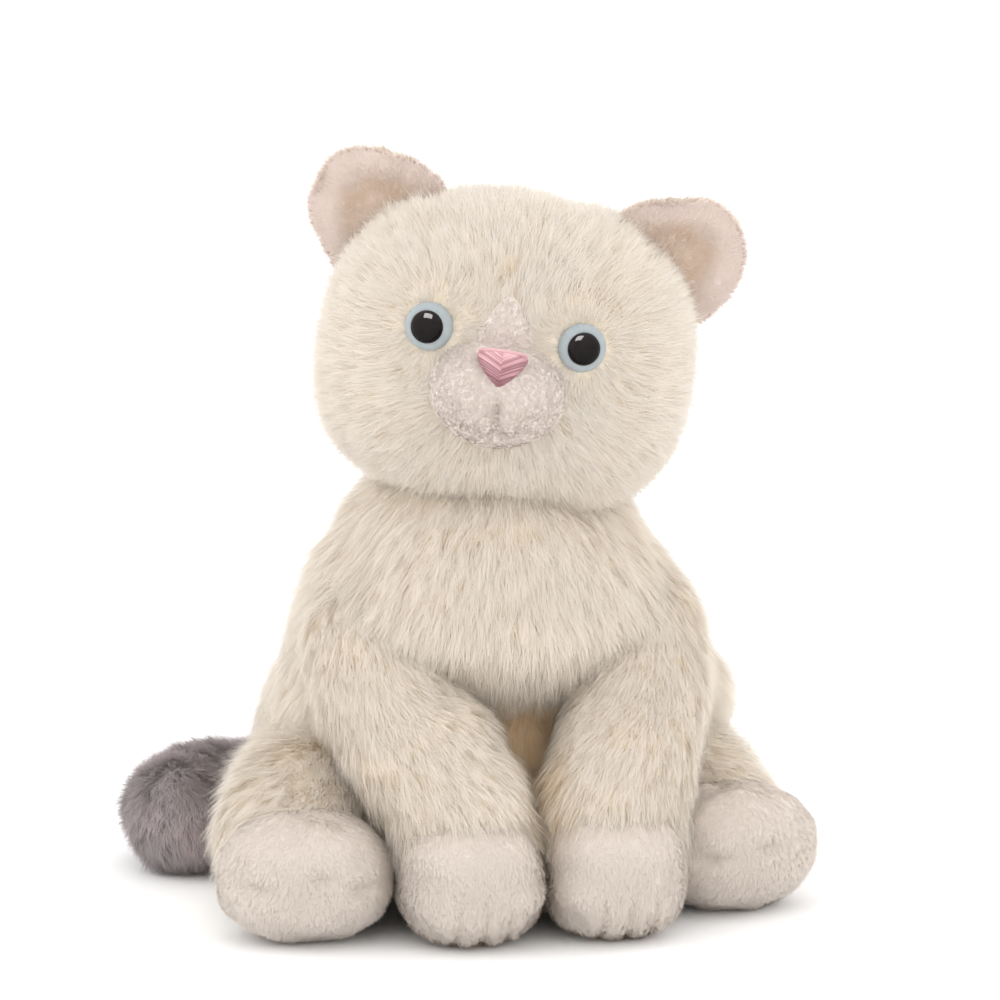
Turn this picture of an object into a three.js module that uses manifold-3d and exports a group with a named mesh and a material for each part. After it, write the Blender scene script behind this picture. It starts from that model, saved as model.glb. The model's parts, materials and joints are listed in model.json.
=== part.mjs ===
// A seated plush kitten: sewn pile-fabric skins over fibre stuffing, plastic eyes and an embroidered nose.
// Millimetres. +Z is up, the kitten faces -Y, and the origin is the centre of the seat panel's underside.
// "left" and "right" are the kitten's own, so its left is +X.
import * as THREE from "three";
import { mergeVertices } from "three/addons/utils/BufferGeometryUtils.js";
import Module from "manifold-3d";

const wasm = await Module();
wasm.setup();

// ---- Driving dimensions ----
const SKIN = 2.6; // pile fabric with its pile pressed flat
const GAP = 0.4; // left between pieces that touch
const JOINT_GAP = 1.2; // left round a part that turns
const LEFT = 1;
const RIGHT = -1;
const SIDE_NAMES = { [LEFT]: "left", [RIGHT]: "right" };

const SEAT = { halfWidth: 34, halfDepth: 26, thick: 2.4 };

const NECK = { pivot: [0, -20, 88], dome: 53, recess: 57, seamInner: 54, seamOuter: 55.6, seamZ: [129, 133] };

// The torso is a stack of ovals, each with its half width, front and back, closed by the dome under the head.
const TORSO_OVALS = [
  { z: 0, halfWidth: 42, front: -29, back: 31 },
  { z: 5, halfWidth: 53, front: -37, back: 38 },
  { z: 18, halfWidth: 64, front: -44, back: 43 },
  { z: 38, halfWidth: 70, front: -49, back: 44 },
  { z: 60, halfWidth: 68, front: -47, back: 41 },
  { z: 80, halfWidth: 63, front: -60, back: 37 },
  { z: 96, halfWidth: 58, front: -68, back: 34 },
];
const DOME_ANGLES = [0.4, 0.65, 0.9, 1.2];
const CHEST_FRONT = -66;

// A head's outline has power 2 for an ellipsoid and more for a boxier form; the jaw adds to it lower down.
const HEAD = { centre: [2.5, -26, 177], half: [57, 48, 46], square: 2.4, jaw: 0.8, turnDeg: -13, tiltDeg: 8 };
const MUZZLE = { centre: [0, -44, -9.5], half: [22, 16, 16] };
const BRIDGE = { centre: [0, -43, 8], half: [10, 9.5, 14] };
const NOSE = { centre: [0, -57.6, 0.6], halfWidth: 8.3, up: 4, down: 7.5, halfThick: 2.2, leanDeg: 28 };
const EYE = { x: 23.8, z: 8.5, outwardDeg: 14, iris: 7.5, pupil: 5.2, shank: 2.2, washer: 8, depth: 12 };
const EAR = { halfBase: 22, height: 26, layer: 2.8, cup: 0.008 };
const EAR_SEAT = { atDeg: 53, pointDeg: 41, back: 4, clear: 4.4, openDeg: 8 };

const SHOULDER = { pivot: [44, -36, 86], ball: 20 };
const FRONT_LEG = [SHOULDER.pivot, [41, -54, 68], [31, -72, 50], [23.6, -84, 36], [22.8, -88, 24]];
const FRONT_LEG_RADII = [19.6, 19.4, 19.4, 19.4, 15];
const FRONT_PAW = { centre: [22.8, -92, 19.4], half: [21.4, 26.5, 19.4] };
const FRONT_LEG_LEAN = 2; // how far the leg comes in from its shoulder before it clears the chest
const WRIST_HEIGHT = 34;

const HIP = { pivot: [50, -10, 28.6], ball: 26.4 };
const HIND_FOOT = {
  [LEFT]: { centre: [68, -64, 19.8], half: [26.5, 23, 19.8] },
  [RIGHT]: { centre: [-72, -78, 19.8], half: [26.5, 23, 19.8] },
};
const THIGH_RADII = [24.4, 20.4, 18.2];
const ANKLE_BEHIND = 10; // from the foot's centre back to the ankle seam

const TAIL = { pivot: [-14, 36, 19], ball: 14.5 };
const TAIL_PATH = [TAIL.pivot, [-46, 54, 17.6], [-76, 52, 17.8], [-93, 36, 18], [-96, 18, 18]];
const TAIL_RADII = [12, 16, 17.4, 17.8, 17];

const POUCH = { centre: [0, 0, 10.6], half: [19, 20, 7.2] };

// ---- Materials ----
const cloth = (color, roughness = 0.95) => new THREE.MeshStandardMaterial({ color, roughness, metalness: 0 });
const MATERIAL = {
  longPile: cloth(0xf1e6d4),
  shortPile: cloth(0xeaddd0),
  earLining: cloth(0xe3c9bd),
  greyPile: cloth(0x9a8e8e),
  stuffing: cloth(0xf6f6f2),
  cotton: cloth(0xe8e2d4),
  thread: cloth(0xeee4d2, 0.7),
  satin: cloth(0xd98f9b, 0.45),
  iris: cloth(0xa9bfc6, 0.35),
  pupil: cloth(0x0c0a0a, 0.06),
  washer: cloth(0xdedede, 0.5),
};

// ---- From geometry to solid, and back ----
const vector = (values) => new THREE.Vector3(...values);

function solidOf(geometry) {
  const bare = geometry.clone();
  bare.deleteAttribute("normal");
  bare.deleteAttribute("uv");
  const merged = mergeVertices(bare, 1e-3);
  const triVerts = new Uint32Array(merged.index.array);
  const make = () =>
    new wasm.Manifold(
      new wasm.Mesh({ numProp: 3, vertProperties: merged.attributes.position.array, triVerts }),
    );
  const solid = make();
  if (solid.volume() > 0) return solid;
  // The points were placed mirrored, so each face is turned round.
  for (let i = 0; i < triVerts.length; i += 3) {
    [triVerts[i + 1], triVerts[i + 2]] = [triVerts[i + 2], triVerts[i + 1]];
  }
  return make();
}

function meshOf(name, solid, material) {
  const { vertProperties, triVerts } = solid.getMesh();
  const geometry = new THREE.BufferGeometry();
  geometry.setAttribute("position", new THREE.BufferAttribute(new Float32Array(vertProperties), 3));
  geometry.setIndex(new THREE.BufferAttribute(new Uint32Array(triVerts), 1));
  geometry.computeVertexNormals();
  const mesh = new THREE.Mesh(geometry, material.clone());
  mesh.name = name;
  return mesh;
}

// ---- Cutting blocks ----
const FAR = 400;

// Everything beyond a level on one axis: 0, 1 or 2 for X, Y or Z.
function beyond(axis, level, direction = 1) {
  const geometry = new THREE.BoxGeometry(FAR, FAR, FAR);
  const shift = [0, 0, 0];
  shift[axis] = level + (direction * FAR) / 2;
  geometry.translate(...shift);
  return solidOf(geometry);
}

const above = (z) => beyond(2, z);
const below = (z) => beyond(2, z, -1);

// ---- Soft forms, each made from a unit sphere whose points are moved ----
function warpedSphere(columns, rows, place) {
  const geometry = new THREE.SphereGeometry(1, columns, rows);
  const position = geometry.attributes.position;
  const point = new THREE.Vector3();
  for (let i = 0; i < position.count; i++) {
    point.fromBufferAttribute(position, i);
    place(point);
    position.setXYZ(i, point.x, point.y, point.z);
  }
  return solidOf(geometry);
}

function ball(centre, radius, columns = 12, rows = 8) {
  return warpedSphere(columns, rows, (p) => p.multiplyScalar(radius).add(vector(centre)));
}

// The rows of the sphere run from pole to pole along Y, and the poles of an oval are on Z.
function oval({ centre, half }, inset = 0, columns = 12, rows = 8) {
  return warpedSphere(columns, rows, (p) => {
    p.set(p.x * (half[0] - inset), p.z * (half[1] - inset), p.y * (half[2] - inset)).add(vector(centre));
    p.z = Math.max(p.z, inset);
  });
}

// A round limb along a curve, with its radius interpolated and both ends closed like a ball.
function limb(path, radii, inset = 0, columns = 10, rows = 9) {
  const curve = new THREE.CatmullRomCurve3(path.map(vector));
  const thickness = new THREE.CatmullRomCurve3(radii.map((r) => new THREE.Vector3(r - inset, 0, 0)));
  const cap = Math.PI / 3; // the share of the sphere's rows that closes each end
  return warpedSphere(columns, rows, (p) => {
    const polar = Math.acos(THREE.MathUtils.clamp(p.y, -1, 1));
    const round = new THREE.Vector2(p.x, p.z).normalize();
    const along = THREE.MathUtils.clamp((polar - cap) / (Math.PI - 2 * cap), 0, 1);
    const toEnd = Math.min(polar, Math.PI - polar) / cap;
    const rise = toEnd < 1 ? (toEnd * Math.PI) / 2 : Math.PI / 2;
    const radius = thickness.getPoint(along).x;
    const tangent = curve.getTangentAt(along);
    const side = new THREE.Vector3(tangent.y, -tangent.x, 0).normalize();
    const up = new THREE.Vector3().crossVectors(side, tangent);
    p.copy(curve.getPointAt(along));
    p.addScaledVector(tangent, Math.cos(rise) * radius * (along > 0.5 ? 1 : -1));
    p.addScaledVector(side, round.x * radius * Math.sin(rise));
    p.addScaledVector(up, round.y * radius * Math.sin(rise));
    p.z = Math.max(p.z, inset);
  });
}

const onSide = (points, side) => points.map(([x, y, z]) => [x * side, y, z]);

// ---- Torso ----
function torsoForm(inset) {
  const [, neckY, neckZ] = NECK.pivot;
  const dome = NECK.dome - inset;
  const ovals = TORSO_OVALS.map(({ z, halfWidth, front, back }) => ({
    z: Math.max(z, inset),
    halfWidth: halfWidth - inset,
    halfDepth: (back - front) / 2 - inset,
    centreY: (front + back) / 2,
  }));
  const domeRings = DOME_ANGLES.map((angle) => ({
    z: neckZ + dome * Math.sin(angle),
    halfWidth: dome * Math.cos(angle),
    halfDepth: dome * Math.cos(angle),
    centreY: neckY,
  }));
  const rings = [...ovals.filter(({ z }, i) => i === 0 || z > inset), ...domeRings];
  const rows = rings.length + 1;
  return warpedSphere(20, rows, (p) => {
    const row = Math.round((Math.acos(THREE.MathUtils.clamp(-p.y, -1, 1)) / Math.PI) * rows);
    const round = new THREE.Vector2(p.x, p.z).normalize();
    if (row === 0) p.set(0, rings[0].centreY, rings[0].z);
    else if (row === rows) p.set(0, neckY, neckZ + dome);
    else {
      const { z, halfWidth, halfDepth, centreY } = rings[row - 1];
      p.set(round.x * halfWidth, Math.max(centreY + round.y * halfDepth, CHEST_FRONT + inset), z);
    }
  });
}

// What a front leg passes through as it lifts: its side view from the leg's back upwards, drawn out along X.
function frontLegSweep(side, inset) {
  const [x, y, z] = SHOULDER.pivot;
  const reach = SHOULDER.ball + JOINT_GAP + inset;
  const fall = Math.atan2(FRONT_LEG[0][2] - FRONT_LEG[2][2], FRONT_LEG[0][1] - FRONT_LEG[2][1]);
  const length = 120;
  const outline = new THREE.Shape();
  outline.absarc(y, z, reach, Math.PI / 2, fall - Math.PI / 2, true);
  outline.lineTo(
    y + reach * Math.sin(fall) - length * Math.cos(fall),
    z - reach * Math.cos(fall) - length * Math.sin(fall),
  );
  outline.lineTo(y - length, z + reach);
  const inner = x - reach - FRONT_LEG_LEAN;
  const width = FAR / 4;
  const options = { depth: width, bevelEnabled: false, curveSegments: 7 };
  const geometry = new THREE.ExtrudeGeometry(outline, options);
  // The outline's own X and Y become the kitten's Y and Z, and its depth runs along X.
  geometry.applyMatrix4(new THREE.Matrix4().set(0, 0, 1, 0, 1, 0, 0, 0, 0, 1, 0, 0, 0, 0, 0, 1));
  geometry.translate(side === LEFT ? inner : -inner - width, 0, 0);
  return solidOf(geometry);
}

const thighPath = (side) => {
  const [x, y, z] = HIND_FOOT[side].centre;
  const hip = onSide([HIP.pivot], side)[0];
  const middle = [(hip[0] + x) / 2 + 5 * side, (hip[1] + y) / 2, (hip[2] + z) / 2 + 0.5];
  return [hip, middle, [x, y, z]];
};

// What the torso leaves free for its limbs, grown by the inset of the layer that is being cut.
function cutForLimbs(solid, inset) {
  const room = JOINT_GAP + inset;
  let cut = solid;
  for (const side of [LEFT, RIGHT]) {
    cut = cut.subtract(ball(onSide([SHOULDER.pivot], side)[0], SHOULDER.ball + room));
    cut = cut.subtract(frontLegSweep(side, inset));
    cut = cut.subtract(ball(onSide([HIP.pivot], side)[0], HIP.ball + room));
    cut = cut.subtract(limb(thighPath(side), THIGH_RADII, -room));
  }
  cut = cut.subtract(ball(TAIL.pivot, TAIL.ball + room));
  return cut.subtract(limb(TAIL_PATH, TAIL_RADII, -room));
}

function seatDisc(grow, bottom, top) {
  const disc = new THREE.CylinderGeometry(1, 1, top - bottom, 28);
  disc.rotateX(Math.PI / 2);
  disc.scale(SEAT.halfWidth + grow, SEAT.halfDepth + grow, 1);
  disc.translate(0, 0, (top + bottom) / 2);
  return solidOf(disc);
}

function torso() {
  const hollow = cutForLimbs(torsoForm(SKIN), SKIN);
  const skin = cutForLimbs(torsoForm(0), 0).subtract(hollow).subtract(seatDisc(GAP, -1, SKIN + 2));
  const pouch = oval(POUCH);
  const pouchRoom = oval({ centre: POUCH.centre, half: POUCH.half.map((h) => h + GAP) });
  const inside = SKIN + GAP;
  const stuffing = cutForLimbs(torsoForm(inside), inside).subtract(pouchRoom).intersect(above(inside + 1));
  return [
    meshOf("body_skin", skin, MATERIAL.longPile),
    meshOf("seat_panel", seatDisc(0, 0, SEAT.thick), MATERIAL.shortPile),
    meshOf("body_stuffing", stuffing, MATERIAL.stuffing),
    meshOf("pellet_pouch", pouch, MATERIAL.cotton),
  ];
}

// ---- Neck ----
function neckSeam() {
  const [low, high] = NECK.seamZ;
  const band = ball(NECK.pivot, NECK.seamOuter, 20, 16).subtract(ball(NECK.pivot, NECK.seamInner, 20, 16));
  return [meshOf("neck_seam", band.intersect(above(low)).intersect(below(high)), MATERIAL.thread)];
}

// ---- Head: modelled about its own centre, then turned and placed ----
const HEAD_TURN = new THREE.Euler(
  0,
  THREE.MathUtils.degToRad(HEAD.tiltDeg),
  THREE.MathUtils.degToRad(HEAD.turnDeg),
  "ZYX",
);

function headForm(inset) {
  const half = HEAD.half.map((h) => h - inset);
  return warpedSphere(18, 12, (p) => {
    const square = HEAD.square + HEAD.jaw * Math.max(-p.y, 0);
    const reach = p.toArray().reduce((sum, value) => sum + Math.abs(value) ** square, 0) ** (1 / square);
    p.divideScalar(reach);
    p.set(p.x * half[0], p.z * half[1], p.y * half[2]);
  });
}

// The point of the head's front above a given place of the face.
function faceFront(x, z) {
  const [halfX, halfY, halfZ] = HEAD.half;
  const left = 1 - (Math.abs(x) / halfX) ** HEAD.square - (Math.abs(z) / halfZ) ** HEAD.square;
  return -halfY * left ** (1 / HEAD.square);
}

function placeByMatrix(solid, matrix) {
  const { vertProperties, triVerts } = solid.getMesh();
  const geometry = new THREE.BufferGeometry();
  geometry.setAttribute("position", new THREE.BufferAttribute(new Float32Array(vertProperties), 3));
  geometry.setIndex(new THREE.BufferAttribute(new Uint32Array(triVerts), 1));
  geometry.applyMatrix4(matrix);
  return solidOf(geometry);
}

const HEAD_PLACE = new THREE.Matrix4().compose(
  vector(HEAD.centre),
  new THREE.Quaternion().setFromEuler(HEAD_TURN),
  new THREE.Vector3(1, 1, 1),
);
const inHead = (solid) => placeByMatrix(solid, HEAD_PLACE);

// A turned piece of an eye: its profile's radius and height, with height along the eye's own axis.
function eyePiece(side, profile) {
  const outward = THREE.MathUtils.degToRad(EYE.outwardDeg) * side;
  const axis = new THREE.Vector3(Math.sin(outward), -Math.cos(outward), 0);
  const up = new THREE.Vector3(0, 0, 1);
  const across = new THREE.Vector3().crossVectors(axis, up);
  const matrix = new THREE.Matrix4().makeBasis(across, axis, up);
  matrix.setPosition(EYE.x * side, faceFront(EYE.x, EYE.z), EYE.z);
  const points = profile.map(([radius, height]) => new THREE.Vector2(radius, height));
  const lathe = new THREE.LatheGeometry(points, 16);
  lathe.applyMatrix4(matrix);
  return solidOf(lathe);
}

const rod = (radius, low, high) => [[0, low], [radius, low], [radius, high], [0, high]];

function irisProfile() {
  const bore = EYE.shank + GAP;
  return [[bore, 1], [EYE.iris, 1], [EYE.iris, 1.9], [6.6, 2.8], [EYE.pupil, 3.2], [bore, 3.2], [bore, 1]];
}

function pupilProfile() {
  const r = EYE.pupil;
  const shank = [[0, -EYE.depth], [EYE.shank, 1 - EYE.depth], [EYE.shank, 3.5]];
  const dome = [[r, 3.5], [r, 4], [r * 0.78, 5.4], [r * 0.4, 6.2], [0, 6.4]];
  return [...shank, ...dome];
}

const washerProfile = () => {
  const bore = EYE.shank + GAP;
  return [[bore, -6.8], [EYE.washer, -6.8], [EYE.washer, -5.5], [bore, -5.5], [bore, -6.8]];
};

function head() {
  const meshes = [];
  const add = (name, solid, material) => meshes.push(meshOf(name, solid, material));
  const recess = ball(NECK.pivot, NECK.recess, 20, 16);
  let skin = headForm(0).subtract(headForm(SKIN));
  let stuffing = headForm(SKIN + GAP);
  for (const side of [LEFT, RIGHT]) {
    const name = SIDE_NAMES[side];
    add(`eye_${name}_iris`, inHead(eyePiece(side, irisProfile())), MATERIAL.iris);
    add(`eye_${name}_pupil`, inHead(eyePiece(side, pupilProfile())), MATERIAL.pupil);
    add(`eye_${name}_washer`, inHead(eyePiece(side, washerProfile())), MATERIAL.washer);
    skin = skin.subtract(eyePiece(side, rod(EYE.shank + GAP, -EYE.depth, 4)));
    stuffing = stuffing.subtract(eyePiece(side, rod(EYE.shank + GAP, -EYE.depth - 1, 4)));
    stuffing = stuffing.subtract(eyePiece(side, rod(EYE.washer + GAP, -7.2, 4)));
  }
  add("head_skin", inHead(skin).subtract(recess), MATERIAL.longPile);
  add("head_stuffing", inHead(stuffing).subtract(recess), MATERIAL.stuffing);

  const freeOval = ({ centre, half }, grow = 0) =>
    warpedSphere(16, 12, (p) =>
      p.set(p.x * (half[0] + grow), p.z * (half[1] + grow), p.y * (half[2] + grow)).add(vector(centre)),
    );
  const muzzle = freeOval(MUZZLE).add(freeOval(BRIDGE)).subtract(headForm(-GAP));
  add("muzzle_panel", inHead(muzzle), MATERIAL.shortPile);

  const lean = new THREE.Matrix4().makeRotationX(THREE.MathUtils.degToRad(-NOSE.leanDeg));
  const nose = warpedSphere(14, 6, (p) => {
    const narrow = p.z > 0 ? 1 : 1 + 0.55 * p.z;
    const height = p.z > 0 ? NOSE.up : NOSE.down;
    p.set(p.x * NOSE.halfWidth * narrow, p.y * NOSE.halfThick, p.z * height);
    p.applyMatrix4(lean).add(vector(NOSE.centre));
  });
  const noseRoom = freeOval(MUZZLE, GAP).add(freeOval(BRIDGE, GAP));
  add("nose_embroidery", inHead(nose.subtract(noseRoom)), MATERIAL.satin);
  return meshes;
}

// ---- Ears: two fabric layers, cupped forward, standing on the head's upper corners ----
function earFoot(side) {
  const at = THREE.MathUtils.degToRad(EAR_SEAT.atDeg);
  const out = new THREE.Vector3(Math.sin(at) * side, 0, Math.cos(at));
  const [halfX, , halfZ] = HEAD.half;
  const fit = (Math.abs(out.x) / halfX) ** HEAD.square + (out.z / halfZ) ** HEAD.square;
  out.multiplyScalar(fit ** (-1 / HEAD.square) + EAR_SEAT.clear);
  return out.add(new THREE.Vector3(0, EAR_SEAT.back, 0));
}

function earPlace(side) {
  const point = THREE.MathUtils.degToRad(EAR_SEAT.pointDeg);
  const tip = new THREE.Vector3(Math.sin(point) * side, 0, Math.cos(point));
  const back = new THREE.Vector3(0, 1, 0);
  const matrix = new THREE.Matrix4().makeBasis(new THREE.Vector3().crossVectors(back, tip), back, tip);
  const open = new THREE.Matrix4().makeRotationZ(THREE.MathUtils.degToRad(EAR_SEAT.openDeg) * side);
  return matrix.multiply(open).setPosition(earFoot(side));
}

// One layer of an ear: -1 is the lining in front, 1 is the back.
function earLayer(side, layer) {
  const ear = warpedSphere(16, 6, (p) => {
    const width = EAR.halfBase * (1 - 0.4 * Math.max(p.z, 0) ** 2);
    const height = p.z > 0 ? EAR.height : 2;
    const x = p.x * width;
    const z = p.z * height;
    const middle = layer * (EAR.layer + GAP) / 2 - EAR.cup * x * x;
    p.set(x, p.y * (EAR.layer / 2) + middle, z);
  });
  return inHead(placeByMatrix(ear, earPlace(side)));
}

function ear(side) {
  const name = SIDE_NAMES[side];
  return [
    meshOf(`ear_${name}_lining`, earLayer(side, -1), MATERIAL.earLining),
    meshOf(`ear_${name}_back`, earLayer(side, 1), MATERIAL.longPile),
  ];
}

// ---- Legs and tail ----
function frontLeg(side) {
  const which = SIDE_NAMES[side];
  const path = onSide(FRONT_LEG, side);
  const paw = { centre: onSide([FRONT_PAW.centre], side)[0], half: FRONT_PAW.half };
  const inside = SKIN + GAP;
  const sleeve = limb(path, FRONT_LEG_RADII).subtract(limb(path, FRONT_LEG_RADII, SKIN));
  const pawSkin = oval(paw).subtract(oval(paw, SKIN));
  const legFill = limb(path, FRONT_LEG_RADII, inside);
  const pawFill = oval(paw, inside);
  const fill = legFill
    .intersect(above(WRIST_HEIGHT + GAP))
    .add(pawFill.intersect(below(WRIST_HEIGHT - 2 * GAP)))
    .add(legFill.intersect(pawFill));
  return [
    meshOf(`front_leg_${which}_sleeve`, sleeve.intersect(above(WRIST_HEIGHT)), MATERIAL.longPile),
    meshOf(`front_leg_${which}_stuffing`, fill, MATERIAL.stuffing),
    meshOf(`front_paw_${which}`, pawSkin.intersect(below(WRIST_HEIGHT - GAP)), MATERIAL.shortPile),
  ];
}

function hindLeg(side) {
  const which = SIDE_NAMES[side];
  const path = thighPath(side);
  const foot = HIND_FOOT[side];
  const ankle = foot.centre[1] + ANKLE_BEHIND;
  const inside = SKIN + GAP;
  const behind = (y) => beyond(1, y);
  const before = (y) => beyond(1, y, -1);
  const haunch = limb(path, THIGH_RADII).subtract(limb(path, THIGH_RADII, SKIN));
  const footSkin = oval(foot).subtract(oval(foot, SKIN));
  const legFill = limb(path, THIGH_RADII, inside);
  const footFill = oval(foot, inside);
  const fill = legFill
    .intersect(behind(ankle + GAP))
    .add(footFill.intersect(before(ankle - 2 * GAP)))
    .add(legFill.intersect(footFill));
  return [
    meshOf(`hind_leg_${which}_skin`, haunch.intersect(behind(ankle)), MATERIAL.longPile),
    meshOf(`hind_leg_${which}_stuffing`, fill, MATERIAL.stuffing),
    meshOf(`hind_foot_${which}`, footSkin.intersect(before(ankle - GAP)), MATERIAL.shortPile),
  ];
}

// The tail's skin is closed at its tip and gathered over the stuffing at its root, where it is left open.
function tail() {
  const skin = limb(TAIL_PATH, TAIL_RADII, 0, 10, 12).subtract(limb(TAIL_PATH, TAIL_RADII, SKIN, 10, 12));
  const [x, y, z] = TAIL.pivot;
  const opening = ball([x + TAIL.ball, y, z], 7, 12, 8);
  return [
    meshOf("tail_skin", skin.subtract(opening), MATERIAL.greyPile),
    meshOf("tail_stuffing", limb(TAIL_PATH, TAIL_RADII, SKIN + GAP, 10, 12), MATERIAL.stuffing),
  ];
}

// ---- Assembly ----
const kitten = new THREE.Group();
kitten.add(...torso(), ...neckSeam(), ...head());
for (const side of [LEFT, RIGHT]) kitten.add(...ear(side), ...frontLeg(side), ...hindLeg(side));
kitten.add(...tail());

export default kitten;
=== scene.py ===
"""Looks of a seated plush kitten: long cream pile, short-pile paws, plastic eyes and a stitched nose.

Forms are worked out in millimetres in the part's own frame, and turned into metres when a mesh is made.
The kitten faces -Y, its own left is +X, and +Z is up.
"""
import json
import math

import bpy
import numpy as np
from mathutils import Matrix, Vector


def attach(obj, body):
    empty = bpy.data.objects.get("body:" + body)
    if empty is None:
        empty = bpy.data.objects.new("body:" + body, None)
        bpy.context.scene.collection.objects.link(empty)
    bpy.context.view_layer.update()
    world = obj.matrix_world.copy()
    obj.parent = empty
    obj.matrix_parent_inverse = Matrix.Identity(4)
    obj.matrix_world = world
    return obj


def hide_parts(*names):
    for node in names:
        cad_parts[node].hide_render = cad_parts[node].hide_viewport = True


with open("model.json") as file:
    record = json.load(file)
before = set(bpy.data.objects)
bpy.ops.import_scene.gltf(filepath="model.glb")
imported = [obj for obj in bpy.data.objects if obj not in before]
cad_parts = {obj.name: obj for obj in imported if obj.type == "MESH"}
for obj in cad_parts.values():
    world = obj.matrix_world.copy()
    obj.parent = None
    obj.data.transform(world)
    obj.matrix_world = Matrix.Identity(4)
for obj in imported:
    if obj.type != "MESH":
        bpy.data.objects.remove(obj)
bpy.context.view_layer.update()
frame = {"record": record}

MM = 0.001
LEFT = 1
RIGHT = -1
SIDES = {"left": LEFT, "right": RIGHT}
PILE_MAP = "OFBake"  # the pile's UV layer: across is a strand's tone, up is root to tip
FLOOR_CLEARANCE = 0.25
SOLE_HEIGHT = 0.9  # the backing of paws and feet stands this high, with its pressed pile below it

# ---- Driving sizes, in millimetres ----
HEAD_CENTRE = (2.5, -26, 177)
HEAD_HALF = np.array((57.0, 48.0, 46.0))
HEAD_TURN = math.radians(-13)
HEAD_TILT = math.radians(8)
HEAD_SQUARE = 2.4
HEAD_JAW = 0.8

# The torso's rings: height, half width, front, back.
TORSO_RINGS = [
    (0.3, 2, 0, 4),
    (0.3, 42, -29, 31),
    (5, 53, -37, 38),
    (18, 64, -44, 43),
    (38, 70, -48, 44),
    (58, 68.5, -50, 41),
    (74, 65, -60, 38),
    (90, 62, -69, 35),
    (104, 55.5, -69, 32),
    (116, 48, -66, 27),
    (128, 40, -60, 20.6),
    (138, 28, -48, 8),
    (142, 2, -21, -19),
]

SHOULDER = (44, -36, 86)
FRONT_LEG = [SHOULDER, (41, -54, 68), (31, -72, 50), (23.6, -84, 36), (22.8, -87, 26)]
FRONT_LEG_RADII = [18, 19.5, 20.5, 20.5, 17]
PAW_CENTRE = (22.9, -91, 20)
PAW_HALF = (21.6, 25.5, 19.8)

HIP = (50, -10, 28.6)
THIGH_RADII = {LEFT: [27, 22.5, 15.5], RIGHT: [27, 25, 15.5]}
FOOT_CENTRE = {LEFT: (68, -64, 19.9), RIGHT: (-72, -78, 19.9)}
FOOT_HALF = (27, 24, 19.8)
FOOT_YAW = {LEFT: math.radians(14), RIGHT: math.radians(-2)}

TAIL_PATH = [(-14, 36, 19), (-46, 54, 17.6), (-76, 52, 17.8), (-93, 36, 18), (-96, 18, 18)]
TAIL_RADII = [12, 16, 17.4, 17.8, 17]

EYE = {"x": 23.8, "z": 8.5, "outward": math.radians(14), "iris": 7.5, "pupil": 5.2}
MUZZLE_CENTRE = (0, -44, -10)
MUZZLE_HALF = (23, 17, 17.5)
BRIDGE_CENTRE = (0, -43, 8)
BRIDGE_HALF = (11, 9.5, 17)
NOSE = {"half_width": 8.3, "up": 4.2, "down": 7.2, "z": 1.0, "lean": math.radians(24)}

EAR = {"half_base": 21, "height": 26.5, "root": 10, "shift": 2.2, "at": math.radians(53),
       "point": math.radians(46)}
EAR_BACK = 4
EAR_OPEN = math.radians(8)
EAR_THICKNESS = 1.6
EAR_HOLLOW = 7.0


# ---- Small vector helpers ----
def unit(vectors):
    return vectors / np.maximum(np.linalg.norm(vectors, axis=-1, keepdims=True), 1e-9)


def dot(a, b):
    return (a * b).sum(axis=-1, keepdims=True)


def smooth_step(values, low, high):
    t = np.clip((values - low) / (high - low), 0, 1)
    return t * t * (3 - 2 * t)


def fade(values, low, high):
    return 1 - smooth_step(values, low, high)


def bump(values, centre, width):
    return np.exp(-(((values - centre) / width) ** 2))


def waves(points, size, seed, count=14):
    """Smooth random values from about -1 to 1 that vary over a length of about size."""
    random = np.random.default_rng(seed)
    directions = unit(random.normal(size=(count, 3))) * random.uniform(0.6, 1.5, (count, 1))
    phases = random.uniform(0, 2 * math.pi, count)
    return np.sin(points @ directions.T * (2 * math.pi / size) + phases).sum(axis=1) / math.sqrt(count)


def spline(values, t):
    """Catmull-Rom curve through rows of values, at t from 0 to 1."""
    values = np.asarray(values, float)
    last = len(values) - 1
    place = np.clip(t, 0, 1) * last
    i = np.minimum(place.astype(int), last - 1)
    f = (place - i)[:, None]
    a, b = values[np.maximum(i - 1, 0)], values[i]
    c, d = values[i + 1], values[np.minimum(i + 2, last)]
    return 0.5 * (2 * b + (c - a) * f + (2 * a - 5 * b + 4 * c - d) * f**2 + (3 * b - a - 3 * c + d) * f**3)


def on_side(points, side):
    """Points given for the left side, mirrored for the right."""
    return np.asarray(points, float) * (side, 1, 1)


# ---- Surfaces ----
class Surface:
    """A soft form: its points, its faces, and how pile grows at each point."""

    def __init__(self, points, quads, caps):
        self.points = np.asarray(points, float)
        self.quads = quads
        self.caps = caps
        count = len(self.points)
        self.flow = np.tile((0.0, 0.0, -1.0), (count, 1))
        self.cover = np.ones(count)
        self.length = np.ones(count)
        self.lift = np.ones(count)
        self.tone = np.full(count, 0.5)

    def triangles(self):
        return np.vstack([self.quads[:, [0, 1, 2]], self.quads[:, [0, 2, 3]], self.caps])

    def normals(self):
        triangles = self.triangles()
        corners = self.points[triangles]
        face = np.cross(corners[:, 1] - corners[:, 0], corners[:, 2] - corners[:, 0])
        total = np.zeros_like(self.points)
        for k in range(3):
            np.add.at(total, triangles[:, k], face)
        return unit(total)

    def push(self, amount):
        """Move each point along its normal."""
        self.points += self.normals() * amount[:, None]

    def turned(self, matrix):
        turn = np.array(matrix.to_3x3())
        self.points = self.points @ turn.T + np.array(matrix.translation)
        self.flow = self.flow @ turn.T
        return self


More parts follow.
